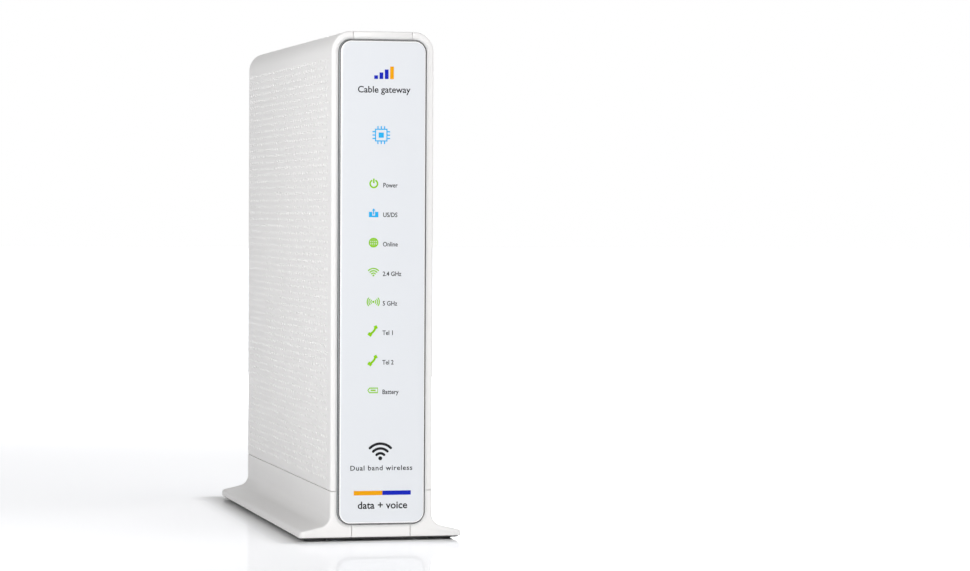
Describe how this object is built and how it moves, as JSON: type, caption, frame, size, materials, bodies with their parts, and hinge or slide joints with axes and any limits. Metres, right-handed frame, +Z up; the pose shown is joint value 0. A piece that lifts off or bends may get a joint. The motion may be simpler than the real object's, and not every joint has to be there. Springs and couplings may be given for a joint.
{
  "type": "cable modem",
  "caption": "Upright cable modem and voice gateway tower on a flared foot, with a lit front strip and rear sockets for coax, network, phone, USB and mains.",
  "frame": {"origin": "on the floor under the middle of the unit's bounding box", "axes": "+Z up, front lens faces -Y, rear sockets face +Y, +X to the right seen from the front"},
  "size_m": [0.0824, 0.2602, 0.255],
  "materials": {
    "housing_white": "fine satin texture",
    "lens_clear": "polished clear acrylic",
    "label_white": "printed film",
    "light_guide": "moulded clear acrylic",
    "board_green": "solder resist",
    "led_green": "clear epoxy",
    "led_blue": "clear epoxy",
    "ribbon_white": "film",
    "rear_grey": "satin",
    "rear_print": "printed film",
    "black_plastic": "fine texture",
    "steel": "tin plate",
    "nickel": "nickel plate",
    "gold": "gold plate",
    "insulator_white": "turned plastic",
    "chip_black": "moulded epoxy",
    "aluminium": "extruded",
    "relay_orange": "moulded",
    "sleeve_blue": "shrink sleeve",
    "winding_tape": "tape over ferrite",
    "choke_red": "enamelled winding",
    "fuse_grey": "ceramic",
    "antenna_film": "laminate",
    "lead_black": "soft sleeve",
    "battery_wrap": "film wrap",
    "bay_grey": "moulded",
    "base_black": "fine texture",
    "rubber": "soft pads"
  },
  "bodies": {
    "housing": {"left_side_cover": "housing_white", "right_side_cover": "housing_white", "left_foot_skirt": "housing_white", "right_foot_skirt": "housing_white", "centre_frame": "housing_white", "front_lens": "lens_clear", "front_label": "label_white", "light_guides": "light_guide", "network_light_pipe": "light_guide", "indicator_board": "board_green", "main_board": "board_green", "indicator_leds": "led_green", "ethernet_leds": "led_green", "network_led": "led_blue", "ribbon_cable": "ribbon_white", "rear_panel": "rear_grey", "rear_label": "rear_print", "usb_housing": "black_plastic", "usb_tongues": "black_plastic", "phone_jack_block": "black_plastic", "ethernet_insert": "black_plastic", "inlet_body": "black_plastic", "usb_shells": "steel", "ethernet_shield": "steel", "reset_switch": "steel", "tuner_can": "steel", "wireless_cans": "steel", "base_screws": "steel", "board_screws": "steel", "coax_body": "nickel", "inlet_pins": "nickel", "phone_jack_contacts": "gold", "ethernet_contacts": "gold", "coax_contact": "gold", "battery_contacts": "gold", "coax_insulator": "insulator_white", "processor": "chip_black", "memory_chips": "chip_black", "switch_chip": "chip_black", "line_transformers": "chip_black", "power_inductors": "chip_black", "heatsink": "aluminium", "power_heatsink": "aluminium", "line_relays": "relay_orange", "capacitors": "sleeve_blue", "bulk_capacitor": "sleeve_blue", "power_transformer": "winding_tape", "mains_choke": "choke_red", "mains_fuse": "fuse_grey", "antennas": "antenna_film", "antenna_leads": "lead_black", "battery_pack": "battery_wrap", "battery_bay": "bay_grey", "base_plate": "base_black", "rubber_feet": "rubber"},
    "reset_button": {"reset_button": "black_plastic"},
    "battery_door": {"battery_door": "base_black"}
  },
  "joints": [
    {"name": "reset_press", "type": "slide", "parent": "housing", "child": "reset_button", "axis": [0, -1, 0], "range_m": [0, 0.0005], "stiffness_N_per_m": 600},
    {"name": "battery_door_slide", "type": "slide", "parent": "housing", "child": "battery_door", "axis": [0, 1, 0], "range_m": [0, 0.01]}
  ]
}
